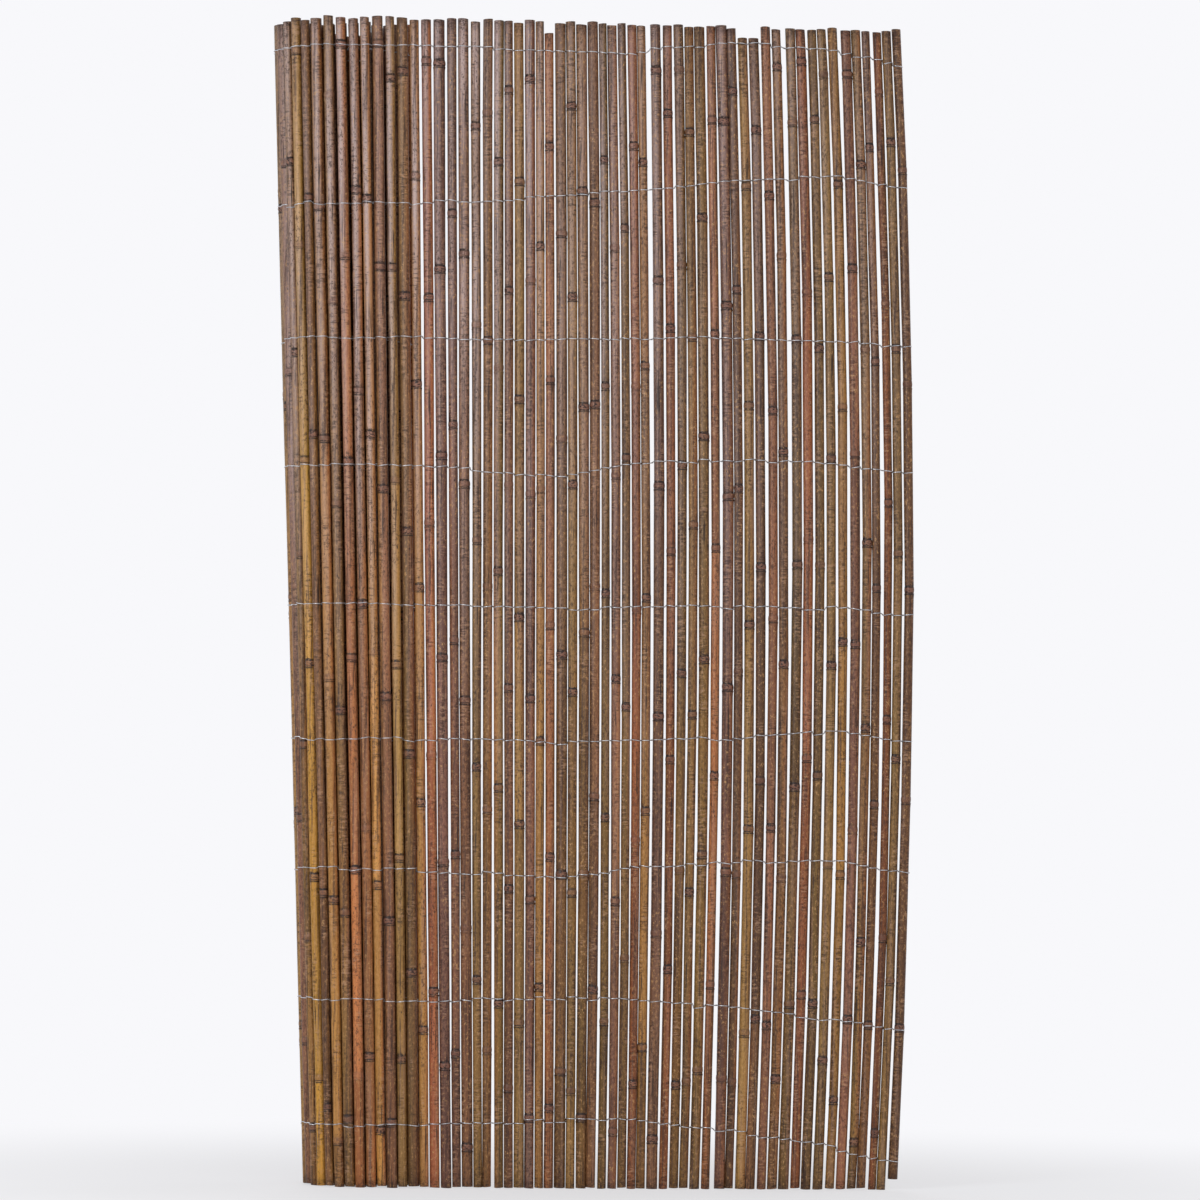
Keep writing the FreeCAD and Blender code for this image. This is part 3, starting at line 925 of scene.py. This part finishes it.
class WireRow:
    """The way of one row of wire past the canes of the sheet, from the free end into the roll."""

    def __init__(self, sheet, level, rises, settings, chance):
        self.half = settings.thickness / 2
        self.heights = row_heights(sheet, level, rises, settings.step, chance)
        self.middles = np.array([stem.middle(z)[0] for stem, z in zip(sheet, self.heights)])
        self.radii = np.array([stem.radius(z) for stem, z in zip(sheet, self.heights)]) + self.half
        along = np.gradient(self.middles, axis=0)
        self.along = along / np.linalg.norm(along, axis=1)[:, None]
        self.out = np.column_stack((-self.along[:, 1], self.along[:, 0]))
        self.slopes = [chance.uniform(-1, 1) * settings.lie for _ in sheet]

    def strand(self, first_side):
        """Points of a strand that passes the first cane on one side and changes sides in each gap."""
        points = []
        side = first_side
        last = len(self.heights) - 1
        for number, (middle, height) in enumerate(zip(self.middles, self.heights)):
            for degrees in WIRE_SWINGS:
                swing = math.radians(degrees)
                way = self.out[number] * side * math.cos(swing) + self.along[number] * math.sin(swing)
                spot = middle + way * self.radii[number]
                points.append((*spot, height + self.slopes[number] * math.sin(swing)))
            if number < last:
                crossing = (middle + self.middles[number + 1]) / 2
                over = first_side * self.half * CROSSING_RISE
                points.append((*crossing, (height + self.heights[number + 1]) / 2 + over))
            side = -side
        return points

    def path(self):
        """Both strands in one line, folded at the free end and kept inside the CAD's box."""
        fold = self.middles[0] - self.along[0] * self.radii[0]
        path = np.array(self.strand(-1)[::-1] + [(*fold, self.heights[0])] + self.strand(1))
        lowest = np.array(CAD_BOX[0][:2]) + self.half
        highest = np.array(CAD_BOX[1][:2]) - self.half
        path[:, :2] = np.clip(path[:, :2], lowest, highest)
        return path


def row_heights(sheet, level, rises, step, chance):
    """Height of a row at each cane: its rise along the fence, and small jumps."""
    places = np.array([stem.along() for stem in sheet])
    heights = level * MM + np.interp(places / MM, WIRE_STATIONS, rises) * MM
    jump, jumps = 0.0, []
    for _ in sheet:
        if chance.random() < WIRE_JUMPS:
            jump = chance.uniform(-1, 1) * step
        jumps.append(jump + chance.uniform(-0.3, 0.3) * step)
    return heights + np.array(jumps)


def wire_piece(name, path, radius):
    """A round wire along a path, as a mesh."""
    line = bpy.data.curves.new(name, "CURVE")
    line.dimensions = "3D"
    line.bevel_depth = radius
    line.bevel_resolution = 1
    line.use_fill_caps = True
    spline = line.splines.new("POLY")
    spline.points.add(len(path) - 1)
    spline.points.foreach_set("co", np.column_stack((path, np.ones(len(path)))).ravel())
    wire = bpy.data.objects.new(name, line)
    bpy.context.scene.collection.objects.link(wire)
    only(wire)
    bpy.ops.object.convert(target="MESH")
    bpy.ops.object.shade_smooth()
    return wire


# Stage


def pale_floor(settings):
    """Matt pale floor near the panel, running out into the backdrop's colour."""
    finish = Finish("pale_floor")
    finish.shader.inputs["Base Color"].default_value = (*settings.floor, 1)
    finish.shader.inputs["Roughness"].default_value = 0.9
    finish.shader.inputs["Specular IOR Level"].default_value = 0.0
    reach = finish.add("ShaderNodeVectorMath", {0: finish.place}, operation="LENGTH").outputs["Value"]
    weight = finish.times(finish.band(reach, *FLOOR_FADE, *FLOOR_GLOW), finish.backdrop_rays())
    glow = finish.add("ShaderNodeEmission", {"Color": settings.backdrop}).outputs["Emission"]
    surface = finish.mix_shaders(weight, finish.shader.outputs["BSDF"], glow)
    finish.feed(finish.output.inputs["Surface"], surface)
    return finish.material


def pale_world(scene, settings):
    """Even light from all round, seen as a pale backdrop."""
    scene.world = bpy.data.worlds.new("pale_world")
    scene.world.use_nodes = True
    nodes = Nodes(scene.world.node_tree)
    light = nodes.add("ShaderNodeBackground", {"Color": (1, 1, 1), "Strength": settings.ambient})
    shown = nodes.add("ShaderNodeBackground", {"Color": settings.backdrop, "Strength": 1.0})
    surface = nodes.mix_shaders(nodes.backdrop_rays(), light.outputs[0], shown.outputs[0])
    nodes.add("ShaderNodeOutputWorld", {"Surface": surface})


def aim(thing, target):
    direction = thing.location - type(thing.location)(target)
    thing.rotation_euler = direction.to_track_quat("Z", "Y").to_euler()


def soft_lamp(name, place, target, size, energy, gloss):
    lamp = bpy.data.lights.new(name, "AREA")
    lamp.shape = "SQUARE"
    lamp.size = size
    lamp.energy = energy
    holder = bpy.data.objects.new(name, lamp)
    bpy.context.scene.collection.objects.link(holder)
    holder.location = place
    holder.visible_glossy = gloss
    aim(holder, target)


def set_camera(scene, settings):
    camera = bpy.data.objects.new("camera", bpy.data.cameras.new("camera"))
    scene.collection.objects.link(camera)
    front = CAD_BOX[0][1]
    side = settings.distance * math.sin(settings.azimuth)
    back = settings.distance * math.cos(settings.azimuth)
    camera.location = (settings.across + side, front - back, settings.eye)
    aim(camera, (settings.across, front, settings.middle))
    camera.rotation_euler.rotate_axis("Z", settings.roll)
    camera.data.sensor_width = SENSOR_WIDTH
    camera.data.lens = settings.lens
    camera.data.clip_end = FARTHEST
    scene.camera = camera


# Operators


def grow_canes(context, rows, lightness=1.0):
    """Grows a cane for each row of a name, the node it stands for, a stem and a tone."""
    plot = Plot(context.scene, context.scene.fence_canes.sides)
    for name, node, stem, tone_name in rows:
        stand_for(plot.grow(name, stem, tone_name, lightness), node)
    plot.clear()
    return {"FINISHED"}


class FENCE_OT_stage(bpy.types.Operator):
    """Lay the floor and set the light and the camera"""

    bl_idname = "fence.stage"
    bl_label = "Stage"

    def execute(self, context):
        settings = context.scene.fence_stage
        context.scene.view_settings.view_transform = "Standard"
        bpy.ops.object.select_all(action="DESELECT")
        bpy.ops.mesh.primitive_circle_add(
            vertices=96, radius=FLOOR_RADIUS, fill_type="NGON", location=(0, 0, 0)
        )
        floor = context.active_object
        floor.name = "floor"
        floor.data.materials.append(pale_floor(settings))
        pale_world(context.scene, settings)
        for name, place, target, size, gloss in LAMPS:
            soft_lamp(name, place, target, size, getattr(settings, name), gloss)
        set_camera(context.scene, settings)
        return {"FINISHED"}


class FENCE_OT_panel_canes(bpy.types.Operator):
    """Grow the canes of the unrolled panel"""

    bl_idname = "fence.panel_canes"
    bl_label = "Panel Canes"

    def execute(self, context):
        canes = enumerate(zip(panel_stems(), PANEL_TONES), start=1)
        rows = [(f"panel_cane_{number:02d}", f"cane_{number:02d}", *cane) for number, cane in canes]
        return grow_canes(context, rows)


class FENCE_OT_front_canes(bpy.types.Operator):
    """Grow the canes that run past the front of the roll"""

    bl_idname = "fence.front_canes"
    bl_label = "Roll Front Canes"

    def execute(self, context):
        stems = front_stems()
        if len(stems) != len(FRONT_TONES):
            raise RuntimeError(f"the roll has {len(stems)} front canes, and {len(FRONT_TONES)} tones are set")
        canes = enumerate(zip(stems, FRONT_TONES), start=1)
        rows = [(f"front_cane_{number}", "roll_front_canes", *cane) for number, cane in canes]
        return grow_canes(context, rows, ROLL_LIGHTNESS)


class FENCE_OT_outer_canes(bpy.types.Operator):
    """Grow the canes of the roll's outer turn"""

    bl_idname = "fence.outer_canes"
    bl_label = "Roll Outer Canes"

    def execute(self, context):
        chance = random.Random("outer tones")
        stems = outer_stems()
        hidden = [chance.choice(PANEL_TONES) for _ in stems[len(OUTER_TONES):]]
        canes = enumerate(zip(stems, [*OUTER_TONES, *hidden]), start=1)
        rows = [(f"outer_cane_{number:02d}", "roll_outer_canes", *cane) for number, cane in canes]
        return grow_canes(context, rows, ROLL_LIGHTNESS)


class FENCE_OT_core_canes(bpy.types.Operator):
    """Grow the canes of the roll's inner turns and join them"""

    bl_idname = "fence.core_canes"
    bl_label = "Roll Core Canes"

    def execute(self, context):
        plot = Plot(context.scene, context.scene.fence_canes.core_sides)
        chance = random.Random("core tones")
        canes = [
            plot.grow(f"core_cane_{number:02d}", stem, chance.choice(PANEL_TONES))
            for number, stem in enumerate(core_stems(), start=1)
        ]
        if not canes:
            raise RuntimeError("the roll has no room for inner turns")
        plot.clear()
        only(canes[0])
        for cane in canes:
            cane.select_set(True)
        bpy.ops.object.join()
        canes[0].name = "roll_core_canes"
        stand_for(canes[0], "roll_inner_turns")
        return {"FINISHED"}


class FENCE_OT_binding_wires(bpy.types.Operator):
    """Twist the rows of binding wire round the canes"""

    bl_idname = "fence.binding_wires"
    bl_label = "Binding Wires"

    def execute(self, context):
        settings = context.scene.fence_wires
        zinc = galvanised_wire(context.scene.fence_tones)
        sheet = panel_stems()[::-1] + front_stems()[::-1] + outer_stems() + core_stems()
        for number, (level, rises) in enumerate(WIRE_ROWS, start=1):
            name = f"wire_row_{number}"
            row = WireRow(sheet, level, rises, settings, random.Random(name))
            wire = wire_piece(name, row.path(), row.half)
            wire.data.materials.append(zinc)
            stand_for(wire, f"binding_wire_{number}")
        return {"FINISHED"}


class FENCE_PT_sidebar(bpy.types.Panel):
    """The steps of the fence, in order"""

    bl_idname = "FENCE_PT_sidebar"
    bl_label = "Bamboo Fence Panel"
    bl_space_type = "VIEW_3D"
    bl_region_type = "UI"
    bl_category = "Fence"

    def draw(self, context):
        for step in STEPS:
            self.layout.operator(step.bl_idname)


STEPS = (
    FENCE_OT_stage,
    FENCE_OT_panel_canes,
    FENCE_OT_front_canes,
    FENCE_OT_outer_canes,
    FENCE_OT_core_canes,
    FENCE_OT_binding_wires,
)
SETTINGS = (
    ("fence_canes", CaneSettings),
    ("fence_tones", ToneSettings),
    ("fence_wires", WireSettings),
    ("fence_stage", StageSettings),
)


def register():
    for name, group in SETTINGS:
        bpy.utils.register_class(group)
        setattr(bpy.types.Scene, name, PointerProperty(type=group))
    for step in STEPS:
        bpy.utils.register_class(step)
    bpy.utils.register_class(FENCE_PT_sidebar)


def unregister():
    bpy.utils.unregister_class(FENCE_PT_sidebar)
    for step in reversed(STEPS):
        bpy.utils.unregister_class(step)
    for name, group in reversed(SETTINGS):
        delattr(bpy.types.Scene, name)
        bpy.utils.unregister_class(group)


def main():
    register()
    bpy.ops.fence.stage()
    bpy.ops.fence.panel_canes()
    bpy.ops.fence.front_canes()
    bpy.ops.fence.outer_canes()
    bpy.ops.fence.core_canes()
    bpy.ops.fence.binding_wires()


if __name__ == "__main__":
    main()
